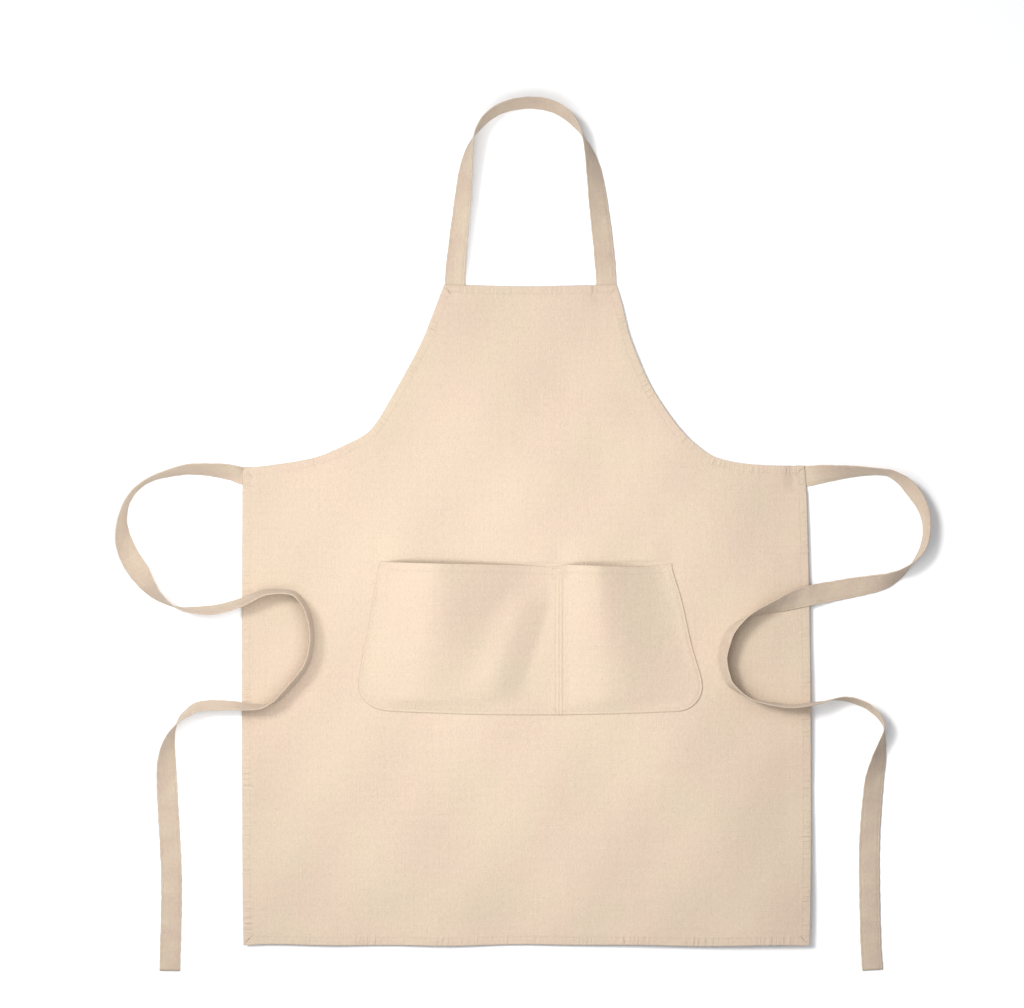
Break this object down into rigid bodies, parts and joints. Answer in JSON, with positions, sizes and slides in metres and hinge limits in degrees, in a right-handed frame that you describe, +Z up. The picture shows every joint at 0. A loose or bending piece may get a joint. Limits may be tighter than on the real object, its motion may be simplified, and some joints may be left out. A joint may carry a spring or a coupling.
{
  "type": "bib apron",
  "caption": "Cotton canvas bib apron laid flat, with a divided kangaroo pocket, a neck strap loop and loose waist ties.",
  "frame": {"origin": "under the middle of the panel and neck strap together, on the surface the apron lies on", "axes": "+Y from the bottom hem towards the neck strap, +Z up out of the apron's face, +X towards the right-hand side as seen face up"},
  "size_m": [1.0128, 1.0822, 0.0283],
  "materials": {
    "canvas": "matt, plain weave",
    "strap_cotton": "matt, plain weave, folded and topstitched",
    "thread_cotton": "slight sheen"
  },
  "bodies": {
    "apron": {"main_panel": "canvas", "pocket": "canvas", "top_hem_thread": "thread_cotton", "left_armhole_thread": "thread_cotton", "right_armhole_thread": "thread_cotton", "left_side_hem_thread": "thread_cotton", "right_side_hem_thread": "thread_cotton", "bottom_hem_thread": "thread_cotton", "pocket_mouth_thread": "thread_cotton", "pocket_edge_thread": "thread_cotton", "pocket_divider_thread": "thread_cotton", "pocket_bartack_thread": "thread_cotton", "neck_strap_left_anchor_thread": "thread_cotton", "neck_strap_right_anchor_thread": "thread_cotton", "left_tie_anchor_thread": "thread_cotton", "right_tie_anchor_thread": "thread_cotton"},
    "neck_strap": {"neck_strap": "strap_cotton", "neck_strap_thread": "thread_cotton"},
    "left_tie": {"left_waist_tie": "strap_cotton", "left_tie_thread": "thread_cotton"},
    "right_tie": {"right_waist_tie": "strap_cotton", "right_tie_thread": "thread_cotton"}
  },
  "joints": [
    {"name": "neck_strap_fold", "type": "hinge", "parent": "apron", "child": "neck_strap", "pos_m": [0.0068, 0.29225, 0.0032], "axis": [1, 0, 0], "range_deg": [0, 160]},
    {"name": "left_tie_lift", "type": "hinge", "parent": "apron", "child": "left_tie", "pos_m": [-0.35, 0.06955, 0.0032], "axis": [-1, 0, 0], "range_deg": [0, 90]},
    {"name": "right_tie_lift", "type": "hinge", "parent": "apron", "child": "right_tie", "pos_m": [0.35, 0.0678, 0.0032], "axis": [-1, 0, 0], "range_deg": [0, 90]}
  ]
}
